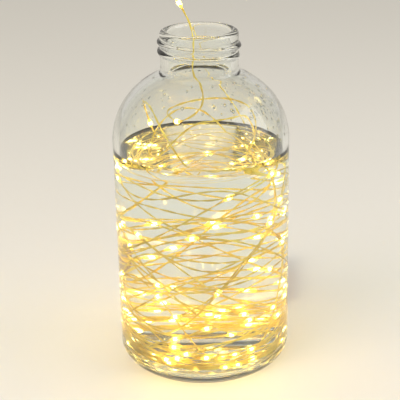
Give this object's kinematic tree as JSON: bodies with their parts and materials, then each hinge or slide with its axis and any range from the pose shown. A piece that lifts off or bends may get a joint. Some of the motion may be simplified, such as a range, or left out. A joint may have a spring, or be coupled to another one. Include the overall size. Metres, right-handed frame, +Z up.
{
  "type": "bottle light",
  "caption": "Clear wide-mouth glass bottle filled with water, wound inside with a wire string of LED drops whose lead runs out of the mouth to a cork-shaped battery holder.",
  "frame": {"origin": "centre of the bottle's base, on the plane that it stands on", "axes": "+Z up along the bottle's axis; the front of the bottle faces -Y; the cork holder lies behind it at +Y"},
  "size_m": [0.0852, 0.1348, 0.1797],
  "materials": {
    "clear_glass": "clear, polished",
    "water": "clear liquid",
    "copper_wire": "enamelled copper",
    "led_resin": "clear resin, lit",
    "led_chip": "phosphor",
    "clear_sleeve": "shrunk sleeve",
    "cork": "cork-look moulding",
    "black_rubber": "soft",
    "black_plastic": "moulded",
    "white_plastic": "moulded",
    "contact_brass": "plated",
    "screw_steel": "nickel plated",
    "cell_nickel": "nickel plated can",
    "green_board": "solder mask",
    "resistor_body": "chip"
  },
  "bodies": {
    "bottle": {"glass_bottle": "clear_glass", "water_fill": "water", "light_string_coil": "copper_wire", "light_string_lead": "copper_wire", "led_drops_coil": "led_resin", "led_drops_lead": "led_resin", "led_chips_coil": "led_chip", "led_chips_lead": "led_chip", "string_end_sleeve": "clear_sleeve", "cork_shell": "cork", "lead_grommet": "black_rubber", "lead_crimp": "contact_brass", "contact_block": "black_plastic", "contact_blades": "contact_brass"},
    "battery_cap": {"end_cap": "cork", "seal_ring": "black_rubber", "battery_carrier": "black_plastic", "carrier_screws": "screw_steel", "button_cell_1": "cell_nickel", "button_cell_2": "cell_nickel", "button_cell_3": "cell_nickel", "positive_plate": "contact_brass", "contact_strips": "contact_brass", "negative_spring": "screw_steel", "switch_board": "green_board", "limiting_resistor": "resistor_body", "switch_housing": "screw_steel", "switch_pins": "contact_brass"},
    "switch_slider": {"switch_knob": "white_plastic"}
  },
  "joints": [
    {"name": "cap_pull", "type": "slide", "parent": "bottle", "child": "battery_cap", "axis": [0, 0.9991, 0.0416], "range_m": [0, 0.034]},
    {"name": "switch_travel", "type": "slide", "parent": "battery_cap", "child": "switch_slider", "axis": [1, 0, 0], "range_m": [0, 0.002]}
  ]
}
